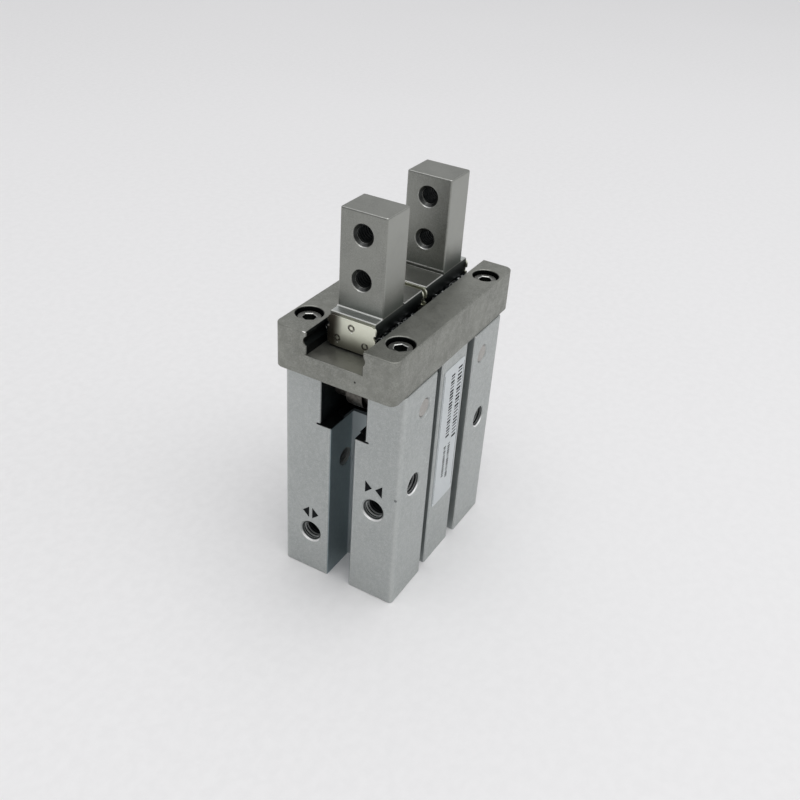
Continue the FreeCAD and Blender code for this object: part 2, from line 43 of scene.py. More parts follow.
# ---------------------------------------------------------------- node helpers
class Tree:
    """Small helper for building a material's node tree."""

    def __init__(self, name):
        self.mat = bpy.data.materials.new(name)
        self.mat.use_nodes = True
        self.t = self.mat.node_tree
        self.t.nodes.clear()
        self.out = self.new("ShaderNodeOutputMaterial")
        self.bsdf = self.new("ShaderNodeBsdfPrincipled")
        self.t.links.new(self.bsdf.outputs["BSDF"], self.out.inputs["Surface"])
        coords = self.new("ShaderNodeTexCoord")
        self.obj = coords.outputs["Object"]
        sep = self.new("ShaderNodeSeparateXYZ")
        self.link(self.obj, sep.inputs[0])
        self.x, self.y, self.z = sep.outputs
        self.geo = self.new("ShaderNodeNewGeometry")
        self._n = None

    def normal_axes(self):
        """Components of the surface's own normal, in the object's frame."""
        if self._n is None:
            conv = self.new("ShaderNodeVectorTransform", vector_type="NORMAL",
                            convert_from="WORLD", convert_to="OBJECT")
            self.link(self.geo.outputs["Normal"], conv.inputs[0])
            sep = self.new("ShaderNodeSeparateXYZ")
            self.link(conv.outputs[0], sep.inputs[0])
            self._n = sep.outputs
        return self._n

    def new(self, kind, **props):
        n = self.t.nodes.new(kind)
        for k, v in props.items():
            setattr(n, k, v)
        return n

    def link(self, a, b):
        self.t.links.new(a, b)

    def put(self, socket, value):
        if hasattr(value, "node"):
            self.link(value, socket)
        else:
            socket.default_value = value

    def math(self, op, a, b=0.0, c=0.0, clamp=False):
        n = self.new("ShaderNodeMath", operation=op, use_clamp=clamp)
        self.put(n.inputs[0], a)
        self.put(n.inputs[1], b)
        self.put(n.inputs[2], c)
        return n.outputs[0]

    def ramp(self, value, lo, hi, a=0.0, b=1.0, smooth=True):
        n = self.new("ShaderNodeMapRange",
                     interpolation_type="SMOOTHSTEP" if smooth else "LINEAR")
        n.clamp = True
        self.put(n.inputs["Value"], value)
        n.inputs["From Min"].default_value = lo
        n.inputs["From Max"].default_value = hi
        n.inputs["To Min"].default_value = a
        n.inputs["To Max"].default_value = b
        return n.outputs["Result"]

    def noise(self, scale, detail=2.0, rough=0.5, stretch=None, distortion=0.0):
        n = self.new("ShaderNodeTexNoise")
        if stretch:
            m = self.new("ShaderNodeMapping")
            m.inputs["Scale"].default_value = stretch
            self.link(self.obj, m.inputs["Vector"])
            self.link(m.outputs[0], n.inputs["Vector"])
        else:
            self.link(self.obj, n.inputs["Vector"])
        n.inputs["Scale"].default_value = scale
        n.inputs["Detail"].default_value = detail
        n.inputs["Roughness"].default_value = rough
        n.inputs["Distortion"].default_value = distortion
        return n.outputs["Fac"]

    def voronoi(self, scale, feature="F1"):
        n = self.new("ShaderNodeTexVoronoi", feature=feature)
        self.link(self.obj, n.inputs["Vector"])
        n.inputs["Scale"].default_value = scale
        return n.outputs["Distance"]

    def mix(self, fac, a, b, blend="MIX"):
        n = self.new("ShaderNodeMix", data_type="RGBA", blend_type=blend)
        n.clamp_factor = True
        self.put(n.inputs["Factor"], fac)
        for key, v in (("A", a), ("B", b)):
            s = [i for i in n.inputs if i.name == key and i.type == "RGBA"][0]
            if hasattr(v, "node"):
                self.link(v, s)
            else:
                s.default_value = (*v, 1.0)
        return [o for o in n.outputs if o.type == "RGBA"][0]

    def bump(self, height, strength, distance, normal=None):
        n = self.new("ShaderNodeBump")
        n.inputs["Strength"].default_value = strength
        n.inputs["Distance"].default_value = distance
        self.put(n.inputs["Height"], height)
        if normal is not None:
            self.link(normal, n.inputs["Normal"])
        return n.outputs["Normal"]

    def convex_edge_mask(self, radius, lo, hi):
        """1 on convex edges: how far a rounded normal turns from the true one."""
        bev = self.new("ShaderNodeBevel", samples=4)
        bev.inputs["Radius"].default_value = radius
        dot = self.new("ShaderNodeVectorMath", operation="DOT_PRODUCT")
        self.link(bev.outputs[0], dot.inputs[0])
        self.link(self.geo.outputs["Normal"], dot.inputs[1])
        return self.ramp(dot.outputs["Value"], hi, lo)

    def set(self, name, value):
        self.put(self.bsdf.inputs[name], value if not isinstance(value, tuple)
                 else (*value, 1.0))


def assign(nodes, mat):
    for n in nodes:
        o = NODES[n] if isinstance(n, str) else n
        o.data.materials.clear()
        o.data.materials.append(mat)


# ---------------------------------------------------------------- materials
def hole_radius(m, u, v, u0, v0):
    """Distance from an axis at (u0, v0), given two coordinates."""
    du = m.math("SUBTRACT", u, u0)
    dv = m.math("SUBTRACT", v, v0)
    return m.math("SQRT", m.math("ADD", m.math("MULTIPLY", du, du),
                                 m.math("MULTIPLY", dv, dv)))


def thread_shade(m, r, depth, r_out, r_dark, c_end, r_crest, r_root, deep):
    """1 where painted shade darkens a threaded hole: the inner half of its
    countersink, the roots behind it, and all of it further in."""
    inside = m.ramp(r, r_out, r_out + 0.00012, 1, 0)
    sink = m.ramp(depth, c_end - 0.00004, c_end + 0.00003, 1, 0)
    lip = m.math("MULTIPLY", m.ramp(r, r_dark - 0.00005, r_dark + 0.00007, 1, 0),
                 m.ramp(depth, 0.00002, 0.00006))
    lip = m.math("MULTIPLY", lip, 0.90)
    root = m.ramp(r, r_crest, r_root)
    far = m.ramp(depth, deep[0], deep[1])
    back = m.math("MULTIPLY", m.math("MAXIMUM", root, far), m.math("SUBTRACT", 1.0, sink))
    return m.math("MULTIPLY", inside,
                  m.math("MAXIMUM", m.math("MULTIPLY", lip, sink), back))


def sink_shine(m, nz, r, r_in, r_mouth, depth, c_end):
    """1 on the part of a hole's countersink that faces up, where a highlight is painted."""
    ring = m.math("MULTIPLY", m.ramp(r, r_in, r_in + 0.00006),
                  m.ramp(r, r_mouth, r_mouth + 0.00006, 1, 0))
    cone = m.math("MULTIPLY", m.ramp(depth, 0.00001, 0.00004),
                  m.ramp(depth, c_end, c_end + 0.00005, 1, 0))
    return m.math("MULTIPLY", m.math("MULTIPLY", ring, cone), m.ramp(nz, 0.22, 0.52))


def anodised():
    m = Tree("anodised_body")
    _, _, nz = m.normal_axes()
    ax, ay = m.math("ABSOLUTE", m.x), m.math("ABSOLUTE", m.y)
    # end channels, sensor grooves and lever pocket: painted shade keeps these deep places darker
    channel_shade = m.math("MULTIPLY", m.ramp(ay, 0.00286, 0.00300, 1, 0),
                m.ramp(ax, 0.0118, 0.0121))
    ch_in = m.math("MULTIPLY", channel_shade, m.ramp(ax, 0.01245, 0.0130, 1, 0))
    gx = m.math("ABSOLUTE", m.math("SUBTRACT", ax, 0.00695))
    groove_shade = m.math("MULTIPLY", m.ramp(gx, 0.00150, 0.00156, 1, 0),
                m.ramp(ay, 0.0130, 0.01345, 1, 0))
    pocket_shade = m.math("MULTIPLY", m.ramp(ay, 0.0062, 0.0064, 1, 0),
                m.math("MULTIPLY", m.ramp(m.z, 0.03920, 0.03935),
                       m.ramp(ax, 0.02060, 0.02092, 1, 0)))
    # threaded holes, darkened inside with painted shade
    dx = m.math("ADD", m.x, 0.021)
    rp = m.math("MINIMUM", hole_radius(m, m.y, m.z, 0.0073, 0.0105),
                hole_radius(m, m.y, m.z, -0.0079, 0.0235))
    port = thread_shade(m, rp, dx, 0.00252, 0.00240, 0.00065, 0.00222, 0.00236,
                        (0.0014, 0.0030))
    port = m.math("MULTIPLY", port, m.ramp(dx, 0.0075, 0.0080, 1, 0))
    ds = m.math("SUBTRACT", 0.0138, ay)
    rs = hole_radius(m, ax, m.z, 0.0150, 0.0292)
    side = thread_shade(m, rs, ds, 0.00245, 0.00236, 0.00055, 0.00222, 0.00236,
                        (0.0014, 0.0030))
    holes = m.math("MAXIMUM", port, m.math("MULTIPLY", side, m.ramp(ay, 0.0030, 0.0060)))
    grain = m.noise(4300, 3, 0.7)
    mottle = m.noise(1100, 3, 0.6)
    cloud = m.noise(110, 3, 0.55)
    base = m.mix(m.ramp(grain, 0.28, 0.72), (0.372, 0.392, 0.387), (0.522, 0.542, 0.534))
    base = m.mix(m.ramp(mottle, 0.35, 0.70, 0, 0.50), base, (0.385, 0.407, 0.400))
    base = m.mix(m.ramp(cloud, 0.3, 0.75, 0, 0.30), base, (0.530, 0.551, 0.541))
    # upright corners get a painted highlight, a little brighter
    corner_highlight = m.math("MULTIPLY", m.ramp(ax, 0.0197, 0.0208), m.ramp(ay, 0.0126, 0.0136))
    base = m.mix(m.math("MULTIPLY", corner_highlight, 0.30), base, (0.62, 0.635, 0.62))
    # painted highlight along the convex edges
    edge_highlight = m.convex_edge_mask(0.00030, 0.80, 0.985)
    base = m.mix(m.math("MULTIPLY", edge_highlight, 0.50), base, (0.86, 0.87, 0.86))
    # few small dark marks from handling
    spots = m.ramp(m.voronoi(210), 0.030, 0.055, 1, 0)
    keep = m.ramp(m.noise(150, 1, 0.5), 0.62, 0.66)
    base = m.mix(m.math("MULTIPLY", m.math("MULTIPLY", spots, keep), 0.5), base,
                 (0.16, 0.165, 0.165))
    nick = m.math("MULTIPLY", m.ramp(hole_radius(m, m.y, m.z, -0.01305, 0.0283),
                                     0.00022, 0.00042, 1, 0),
                  m.ramp(m.x, -0.0204, -0.0202, 1, 0))
    base = m.mix(m.math("MULTIPLY", nick, 0.75), base, (0.12, 0.13, 0.13))
    # painted shade on the walls of the end channels
    base = m.mix(m.math("MULTIPLY", channel_shade, 0.80), base, (0.200, 0.262, 0.288))
    # the channel floor is mixed back to a pale tone, out of that painted shade
    base = m.mix(m.math("MULTIPLY", ch_in, 0.80), base, (0.60, 0.635, 0.645))
    # painted shade in the sensor grooves
    base = m.mix(m.math("MULTIPLY", groove_shade, 0.42), base, (0.235, 0.268, 0.275))
    # painted shadow in the lever pocket, near black
    base = m.mix(m.math("MULTIPLY", pocket_shade, 0.93), base, (0.020, 0.027, 0.030))
    # painted shade in the threaded holes, near black
    base = m.mix(m.math("MULTIPLY", holes, 0.97), base, (0.006, 0.008, 0.009))
    # painted highlight on the up-facing part of each countersink
    sink_highlight = m.math("MAXIMUM", sink_shine(m, nz, rp, 0.00238, 0.00275, dx, 0.00065),
                   sink_shine(m, nz, rs, 0.00234, 0.00265, ds, 0.00055))
    base = m.mix(m.math("MULTIPLY", sink_highlight, 0.92), base, (0.99, 0.995, 0.99))
    m.set("Base Color", base)
    # the places darkened with painted shade, holes and pocket, lose the coating's pale sheen
    deep = m.math("MAXIMUM", holes, pocket_shade)
    m.set("Metallic", m.ramp(deep, 0.0, 1.0, 0.78, 1.0, smooth=False))
    m.set("Roughness", m.ramp(mottle, 0.3, 0.7, 0.42, 0.52))
    n = m.bump(grain, 0.45, 0.00002)
    m.link(m.bump(mottle, 0.25, 0.00004, n), m.bsdf.inputs["Normal"])
    return m.mat


def tumbled():
    m = Tree("tumbled_steel")
    ax, ay = m.math("ABSOLUTE", m.x), m.math("ABSOLUTE", m.y)
    slot = m.math("MULTIPLY", m.ramp(ay, 0.00690, 0.00705, 1, 0),
                  m.ramp(m.z, 0.05738, 0.05744))
    slot = m.math("MULTIPLY", slot, m.ramp(ay, 0.0060, 0.00615))
    # painted shade: the slot walls beside the carriages go near black
    wall = m.math("MULTIPLY", slot, m.math("MAXIMUM",
                                           m.ramp(m.z, 0.06222, 0.06230, 1, 0),
                                           m.ramp(ay, 0.00636, 0.00644, 1, 0)))
    inside = m.ramp(ax, 0.02455, 0.0249, 1, 0)
    wall = m.math("MULTIPLY", wall, inside)
    # painted shade on the slot floor, darker near the stopper plates
    floor = m.math("MULTIPLY", m.math("MULTIPLY", m.ramp(ay, 0.0062, 0.0064, 1, 0),
                                      m.ramp(m.z, 0.05736, 0.0578, 1, 0)),
                   m.math("MULTIPLY", inside, m.ramp(m.z, 0.0572, 0.0573)))
    # counterbores: the walls lie in deep shade
    rc = hole_radius(m, ax, ay, 0.018, 0.0102)
    bore = m.math("MULTIPLY", m.ramp(rc, 0.00290, 0.00300, 1, 0),
                  m.ramp(m.z, 0.06212, 0.06222, 1, 0))
    grain = m.noise(3300, 3, 0.7)
    mottle = m.noise(560, 4, 0.6)
    cloud = m.noise(95, 3, 0.6)
    base = m.mix(m.ramp(grain, 0.28, 0.72), (0.218, 0.222, 0.203), (0.340, 0.346, 0.317))
    base = m.mix(m.ramp(mottle, 0.38, 0.70, 0, 0.60), base, (0.228, 0.232, 0.212))
    base = m.mix(m.ramp(cloud, 0.35, 0.72, 0, 0.50), base, (0.355, 0.360, 0.330))
    pits = m.ramp(m.voronoi(420), 0.045, 0.080, 1, 0)
    keep = m.ramp(m.noise(260, 1, 0.5), 0.60, 0.64)
    pit = m.math("MULTIPLY", pits, keep)
    base = m.mix(m.math("MULTIPLY", pit, 0.6), base, (0.11, 0.105, 0.10))
    # painted highlight along the convex edges, patchy
    edge_highlight = m.convex_edge_mask(0.00022, 0.80, 0.985)
    edge_glint_amount = m.ramp(m.noise(330, 2, 0.5), 0.40, 0.66, 0.15, 0.75)
    base = m.mix(m.math("MULTIPLY", edge_highlight, edge_glint_amount), base, (0.66, 0.665, 0.63))
    # two painted glints on the near end, and one dark nick
    for y0, z0, w, h, up in ((0.00665, 0.06226, 0.00050, 0.00009, True),
                             (-0.01320, 0.06215, 0.00020, 0.00013, True),
                             (-0.00485, 0.05545, 0.00028, 0.00028, False)):
        du = m.math("DIVIDE", m.math("SUBTRACT", m.y, y0), w)
        dv = m.math("DIVIDE", m.math("SUBTRACT", m.z, z0), h)
        d2 = m.math("ADD", m.math("MULTIPLY", du, du), m.math("MULTIPLY", dv, dv))
        spot = m.math("MULTIPLY", m.ramp(d2, 0.4, 1.0, 1, 0),
                      m.ramp(m.x, -0.0246, -0.0248))
        base = m.mix(spot, base, (1.0, 1.0, 0.98) if up else (0.06, 0.06, 0.055))
    # painted shade: the slot floor is darker near the stopper plates, lighter towards the ends
    shade = m.ramp(ax, 0.0196, 0.0246)
    base = m.mix(m.math("MULTIPLY", floor, 0.85), base,
                 m.mix(shade, (0.200, 0.204, 0.182), (0.300, 0.299, 0.270)))
    # painted shade on the slot walls, near black
    base = m.mix(m.math("MULTIPLY", wall, 0.97), base, (0.008, 0.011, 0.012))
    base = m.mix(m.math("MULTIPLY", bore, 0.97), base, (0.006, 0.008, 0.009))
    m.set("Base Color", base)
    m.bsdf.inputs["Metallic"].default_value = 1.0
    m.set("Roughness", m.ramp(mottle, 0.3, 0.7, 0.44, 0.56))
    n = m.bump(grain, 0.45, 0.000025)
    n = m.bump(m.math("MULTIPLY", pit, -1.0), 0.4, 0.00006, n)
    m.link(m.bump(mottle, 0.30, 0.00006, n), m.bsdf.inputs["Normal"])
    return m.mat


def ground():
    m = Tree("ground_steel")
    ax, ay = m.math("ABSOLUTE", m.x), m.math("ABSOLUTE", m.y)
    nx, ny, nz = m.normal_axes()
    # painted shade: the carriage sides by the ball gap go near black
    low = m.math("MULTIPLY", m.ramp(m.z, 0.06455, 0.06472, 1, 0),
                 m.ramp(ay, 0.00480, 0.00498))
    # painted shade on all of the carriage that sits down in the slot
    in_slot_shade = m.ramp(m.z, 0.0634, 0.0645, 1, 0)
    # threaded holes through the uprights, darkened inside with painted shade
    mid = m.math("ABSOLUTE", m.math("SUBTRACT", ax, 0.01215))
    depth = m.math("SUBTRACT", 0.004, mid)
    rh = m.math("MINIMUM", hole_radius(m, m.y, m.z, 0.0, 0.0713),
                hole_radius(m, m.y, m.z, 0.0, 0.0803))
    holes = thread_shade(m, rh, depth, 0.00218, 0.00216, 0.00065, 0.00172, 0.00185,
                         (0.0006, 0.0013))
    lines = m.noise(900, 3, 0.6, stretch=(7.0, 7.0, 0.35))
    fine = m.noise(3600, 3, 0.7)
    mottle = m.noise(620, 4, 0.6)
    cloud = m.noise(140, 3, 0.6)
    base = m.mix(m.ramp(fine, 0.28, 0.72), (0.222, 0.227, 0.210), (0.345, 0.351, 0.327))
    base = m.mix(m.ramp(lines, 0.35, 0.7, 0, 0.30), base, (0.262, 0.267, 0.247))
    base = m.mix(m.ramp(mottle, 0.40, 0.70, 0, 0.50), base, (0.245, 0.250, 0.232))
    base = m.mix(m.ramp(cloud, 0.35, 0.72, 0, 0.45), base, (0.352, 0.358, 0.332))
    # each upright is darker towards its foot
    foot = m.math("MULTIPLY", m.ramp(m.z, 0.0650, 0.0690, 1, 0),
                  m.ramp(m.z, 0.06485, 0.06495))
    side = m.ramp(m.math("ABSOLUTE", ny), 0.6, 0.9, 0.44, 0.84)
    # the faces along the long sides are brighter above the darker foot
    base = m.mix(m.math("MULTIPLY", m.ramp(m.math("ABSOLUTE", ny), 0.8, 0.95, 0, 0.55),
                        m.ramp(m.z, 0.0680, 0.0715)), base, (0.400, 0.406, 0.380))
    # darker towards the foot, more on the faces along the long sides
    base = m.mix(m.math("MULTIPLY", foot, side), base, (0.120, 0.135, 0.125))
    # ledge outside the upright, brighter on its top
    ledge = m.math("MULTIPLY", m.ramp(ax, 0.01615, 0.0163),
                   m.math("MULTIPLY", m.ramp(m.z, 0.0645, 0.0647), m.ramp(nz, 0.9, 0.97)))
    base = m.mix(m.math("MULTIPLY", ledge, 0.9), base, (0.60, 0.625, 0.61))
    # painted highlight along the convex edges, sparkling
    edge_highlight = m.convex_edge_mask(0.00020, 0.80, 0.985)
    spark = m.ramp(m.noise(1500, 2, 0.5), 0.42, 0.62, 0.45, 1.0)
    base = m.mix(m.math("MULTIPLY", edge_highlight, m.math("MULTIPLY", spark, 0.85)), base,
                 (0.86, 0.865, 0.84))
    # painted highlight on the flat 45 degree breaks, stronger on those facing along X
    az = m.math("ABSOLUTE", nz)
    chamfer_highlight = m.math("MULTIPLY", m.ramp(az, 0.62, 0.68), m.ramp(az, 0.74, 0.80, 1, 0))
    chamfer_highlight = m.math("MULTIPLY", chamfer_highlight, m.ramp(m.z, 0.0642, 0.0645))
    base = m.mix(m.math("MULTIPLY", chamfer_highlight, m.ramp(m.math("ABSOLUTE", nx), 0.3, 0.5, 0.22, 0.62)),
                 base, (0.90, 0.91, 0.89))
    # painted highlight on both lips of the relief at the inner foot
    anx = m.math("ABSOLUTE", nx)
    lip_a = m.math("MULTIPLY", m.math("MULTIPLY", m.ramp(ax, 0.00768, 0.00772),
                                      m.ramp(ax, 0.00790, 0.00792, 1, 0)),
                   m.math("MULTIPLY", m.ramp(nz, 0.85, 0.95), m.ramp(m.z, 0.0647, 0.06475)))
    lip_b = m.math("MULTIPLY", m.math("MULTIPLY", m.ramp(m.z, 0.06528, 0.06530),
                                      m.ramp(m.z, 0.06548, 0.06554, 1, 0)),
                   m.math("MULTIPLY", m.ramp(anx, 0.8, 0.9), m.ramp(ax, 0.0084, 0.0085, 1, 0)))
    relief_lip_highlight = m.math("MAXIMUM", lip_a, lip_b)
    relief_lip_highlight = m.math("MULTIPLY", relief_lip_highlight, m.ramp(m.noise(1100, 2, 0.5), 0.34, 0.50, 0.60, 1.0))
    base = m.mix(relief_lip_highlight, base, (1.0, 1.0, 0.99))
    # painted shade on the carriage sides and low in the slot
    base = m.mix(m.math("MULTIPLY", low, 0.85), base, (0.035, 0.046, 0.047))
    base = m.mix(m.math("MULTIPLY", in_slot_shade, 0.80), base, (0.022, 0.026, 0.026))
    # painted shade in the threaded holes
    base = m.mix(m.math("MULTIPLY", holes, 0.97), base, (0.006, 0.008, 0.009))
    m.set("Base Color", base)
    m.bsdf.inputs["Metallic"].default_value = 1.0
    m.set("Roughness", m.ramp(fine, 0.3, 0.7, 0.35, 0.45))
    n = m.bump(lines, 0.18, 0.00002)
    m.link(m.bump(fine, 0.35, 0.000015, n), m.bsdf.inputs["Normal"])
    return m.mat


def socket_screw():
    m = Tree("socket_screw_steel")
    ax, ay = m.math("ABSOLUTE", m.x), m.math("ABSOLUTE", m.y)
    r = hole_radius(m, ax, ay, 0.018, 0.0102)
    _, _, nz = m.normal_axes()
    socket = m.math("MULTIPLY", m.ramp(r, 0.00150, 0.00158, 1, 0),
                    m.ramp(m.z, 0.06122, 0.06128, 1, 0))
    skirt_shade = m.math("MAXIMUM", m.ramp(r, 0.00222, 0.00234), m.ramp(nz, 0.80, 0.55))
    skirt_shade = m.math("MULTIPLY", skirt_shade, m.ramp(r, 0.00180, 0.00190))
    rim_highlight = m.math("MULTIPLY", m.math("MULTIPLY", m.ramp(r, 0.00160, 0.00172, 1, 0),
                                    m.ramp(nz, 0.90, 0.80)),
                 m.ramp(m.z, 0.06125, 0.06129))
    a = m.noise(3000, 3, 0.6)
    base = m.mix(m.ramp(a, 0.3, 0.7), (0.185, 0.188, 0.175), (0.270, 0.273, 0.256))
    # painted shade on the outer side of each head, by the dark counterbore gap
    base = m.mix(m.math("MULTIPLY", skirt_shade, 0.95), base, (0.010, 0.012, 0.013))
    # painted shade in the hex socket
    base = m.mix(m.math("MULTIPLY", socket, 0.93), base, (0.045, 0.052, 0.047))
    # painted highlight on the ring round the hex socket
    base = m.mix(m.math("MULTIPLY", rim_highlight, 0.8), base, (0.70, 0.71, 0.69))
    m.set("Base Color", base)
    m.bsdf.inputs["Metallic"].default_value = 1.0
    m.set("Roughness", m.ramp(a, 0.3, 0.7, 0.34, 0.44))
    m.link(m.bump(a, 0.25, 0.000015), m.bsdf.inputs["Normal"])
    return m.mat


def dark_balls_painted_glints():
    m = Tree("dark_balls_painted_glints")
    # dark balls; the bright specks are painted highlights
    a = m.noise(1900, 2, 0.5)
    b = m.noise(700, 2, 0.5)
    painted_glint = m.math("MULTIPLY", m.ramp(a, 0.53, 0.60), m.ramp(b, 0.41, 0.49))
    base = m.mix(painted_glint, (0.010, 0.013, 0.014), (0.80, 0.82, 0.82))
    m.set("Base Color", base)
    m.bsdf.inputs["Metallic"].default_value = 0.6
    m.set("Roughness", m.ramp(painted_glint, 0.0, 1.0, 0.34, 0.22))
    m.link(m.bump(a, 0.6, 0.00012), m.bsdf.inputs["Normal"])
    return m.mat


def turned_metal(name, dark, light, rough, metallic=1.0, scale=2500, lines=None):
    m = Tree(name)
    a = m.noise(scale, 3, 0.6)
    b = m.noise(scale / 9.0, 2, 0.5)
    base = m.mix(m.ramp(a, 0.3, 0.7), dark, light)
    mid = tuple(0.5 * (p + q) * 0.82 for p, q in zip(dark, light))
    base = m.mix(m.ramp(b, 0.4, 0.75, 0, 0.5), base, mid)
    m.set("Base Color", base)
    m.bsdf.inputs["Metallic"].default_value = metallic
    m.set("Roughness", m.ramp(b, 0.3, 0.7, rough - 0.05, rough + 0.06))
    m.link(m.bump(a, 0.25, 0.000015), m.bsdf.inputs["Normal"])
    return m.mat


def sheet_metal():
    m = Tree("stopper_sheet")
    a = m.noise(1400, 2, 0.5)
    b = m.noise(210, 2, 0.5)
    ax = m.math("ABSOLUTE", m.x)
    base = m.mix(m.ramp(b, 0.3, 0.7), (0.785, 0.795, 0.670), (0.850, 0.862, 0.735))
    # painted reflection of the dark slot wall and floor on the outer plates
    left = m.ramp(m.math("ADD", m.y, m.math("MULTIPLY", m.math("SUBTRACT", b, 0.5), 0.0016)),
                  0.0020, 0.0042)
    foot = m.ramp(m.z, 0.0579, 0.0612, 1, 0)
    outer = m.ramp(ax, 0.0120, 0.0130)
    slot_reflection = m.math("MULTIPLY", outer, m.math("MAXIMUM", m.math("MULTIPLY", left, 0.94),
                                             m.math("MULTIPLY", foot, 0.72)))
    base = m.mix(slot_reflection, base, (0.075, 0.060, 0.045))
    # dark rings round the weld marks: painted shade of their dimpled walls
    marks = None
    for y0, z0 in ((0.0, 0.0626), (-0.0031, 0.05965), (0.0031, 0.05965)):
        r = hole_radius(m, m.y, m.z, y0, z0)
        k = m.math("MULTIPLY", m.ramp(r, 0.00032, 0.00038), m.ramp(r, 0.00074, 0.00082, 1, 0))
        marks = k if marks is None else m.math("MAXIMUM", marks, k)
    marks = m.math("MULTIPLY", marks, m.ramp(m.noise(900, 1, 0.5), 0.34, 0.48, 0.40, 1.0))
    base = m.mix(m.math("MULTIPLY", m.math("MULTIPLY", marks, outer), 0.95), base,
                 (0.10, 0.09, 0.07))
    # each weld mark catches the light on its lower lip
    for y0, z0 in ((0.0, 0.0626), (-0.0031, 0.05965), (0.0031, 0.05965)):
        r = hole_radius(m, m.y, m.z, y0 - 0.00010, z0 - 0.00096)
        k = m.math("MULTIPLY", m.ramp(r, 0.00009, 0.00020, 1, 0), outer)
        base = m.mix(m.math("MULTIPLY", k, 0.95), base, (1.0, 0.99, 0.95))
    # painted highlight along the convex edges
    edge_highlight = m.convex_edge_mask(0.00012, 0.80, 0.985)
    base = m.mix(m.math("MULTIPLY", edge_highlight, 0.6), base, (0.95, 0.94, 0.88))
    m.set("Base Color", base)
    m.bsdf.inputs["Metallic"].default_value = 1.0
    m.set("Roughness", m.ramp(b, 0.3, 0.7, 0.30, 0.36))
    m.link(m.bump(a, 0.06, 0.00001), m.bsdf.inputs["Normal"])
    return m.mat


def rubber(name, dark, light, rough=0.6):
    m = Tree(name)
    a = m.noise(1800, 3, 0.6)
    m.set("Base Color", m.mix(m.ramp(a, 0.3, 0.7), dark, light))
    m.set("Roughness", m.ramp(a, 0.3, 0.7, rough - 0.08, rough + 0.08))
    m.link(m.bump(a, 0.3, 0.00003), m.bsdf.inputs["Normal"])
    return m.mat


def foil():
    m = Tree("label_foil")
    a = m.noise(1500, 2, 0.5, stretch=(6.0, 1.0, 0.5))
    b = m.noise(160, 3, 0.5)
    base = m.mix(m.ramp(a, 0.3, 0.7), (0.565, 0.598, 0.612), (0.640, 0.675, 0.690))
    base = m.mix(m.ramp(b, 0.35, 0.75, 0, 0.3), base, (0.70, 0.735, 0.75))
    m.set("Base Color", base)
    m.bsdf.inputs["Metallic"].default_value = 0.55
    m.set("Roughness", m.ramp(a, 0.3, 0.7, 0.34, 0.44))
    m.link(m.bump(b, 0.15, 0.00004), m.bsdf.inputs["Normal"])
    return m.mat


def ink():
    m = Tree("black_ink")
    a = m.noise(2500, 3, 0.6)
    m.set("Base Color", m.mix(m.ramp(a, 0.3, 0.75), (0.003, 0.004, 0.005),
                              (0.009, 0.010, 0.011)))
    m.set("Roughness", m.ramp(a, 0.3, 0.7, 0.55, 0.70))
    m.bsdf.inputs["Specular IOR Level"].default_value = 0.08
    m.link(m.bump(a, 0.3, 0.00001), m.bsdf.inputs["Normal"])
    return m.mat


MAT_BODY = anodised()
MAT_GUIDE = tumbled()
MAT_FINGER = ground()
MAT_SHEET = sheet_metal()
MAT_SHAFT = turned_metal("shaft_steel", (0.36, 0.345, 0.325), (0.45, 0.435, 0.415), 0.36)
MAT_LEVER = turned_metal("lever_steel", (0.085, 0.080, 0.072), (0.145, 0.138, 0.125), 0.42, scale=1500)
MAT_SCREW = socket_screw()
MAT_BOLT = turned_metal("screw_steel", (0.24, 0.235, 0.225), (0.33, 0.325, 0.31), 0.36, scale=3200)
MAT_DARK_BALLS = dark_balls_painted_glints()
MAT_BALL = turned_metal("ball_steel", (0.50, 0.50, 0.50), (0.58, 0.58, 0.58), 0.12, scale=1200)
MAT_CAP = turned_metal("cap_aluminium", (0.58, 0.58, 0.58), (0.68, 0.68, 0.68), 0.30)
MAT_SPRING = turned_metal("spring_steel", (0.10, 0.10, 0.105), (0.17, 0.17, 0.175), 0.35)
MAT_BRASS = turned_metal("holder_brass", (0.55, 0.40, 0.17), (0.66, 0.50, 0.24), 0.30)
MAT_SEAL = rubber("seal_rubber", (0.010, 0.010, 0.010), (0.022, 0.022, 0.022))
MAT_BUMPER = rubber("bumper_rubber", (0.09, 0.07, 0.05), (0.13, 0.105, 0.08))
MAT_MAGNET = rubber("magnet_dark", (0.035, 0.03, 0.028), (0.06, 0.055, 0.05), 0.5)
MAT_FOIL = foil()
MAT_INK = ink()

assign(["body"], MAT_BODY)
assign(["guide"], MAT_GUIDE)
assign(["finger_left", "finger_right"], MAT_FINGER)
assign([n for n in NODES if n.endswith("_stopper")], MAT_SHEET)
assign(["lever_shafts", "lever_left_pin", "lever_right_pin", "piston_rod"], MAT_SHAFT)
assign(["lever_left", "lever_right"], MAT_LEVER)
assign(["guide_screws"], MAT_SCREW)
assign(["piston_screw"], MAT_BOLT)
assign(["balls_left", "balls_right"], MAT_DARK_BALLS)
assign(["lever_left_rollers", "lever_right_rollers"], MAT_BALL)
assign(["end_cap", "piston"], MAT_CAP)
assign(["retaining_ring", "holder_lock"], MAT_SPRING)
assign(["rod_seal_holder"], MAT_BRASS)
assign(["cap_seal", "piston_seal", "rod_seal", "rod_o_ring"], MAT_SEAL)
assign(["lower_bumper", "upper_bumper"], MAT_BUMPER)
assign(["magnet_ring"], MAT_MAGNET)
assign(["label"], MAT_FOIL)


# ---------------------------------------------------------------- mesh helpers
def mesh_object(name, verts, faces, mat, smooth=False):
    me = bpy.data.meshes.new(name)
    me.from_pydata([tuple(v) for v in verts], [], faces)
    bm = bmesh.new()
    bm.from_mesh(me)
    bmesh.ops.recalc_face_normals(bm, faces=bm.faces)
    bm.to_mesh(me)
    bm.free()
    for p in me.polygons:
        p.use_smooth = smooth
    me.materials.append(mat)
    o = bpy.data.objects.new(name, me)
    bpy.context.scene.collection.objects.link(o)
    return o


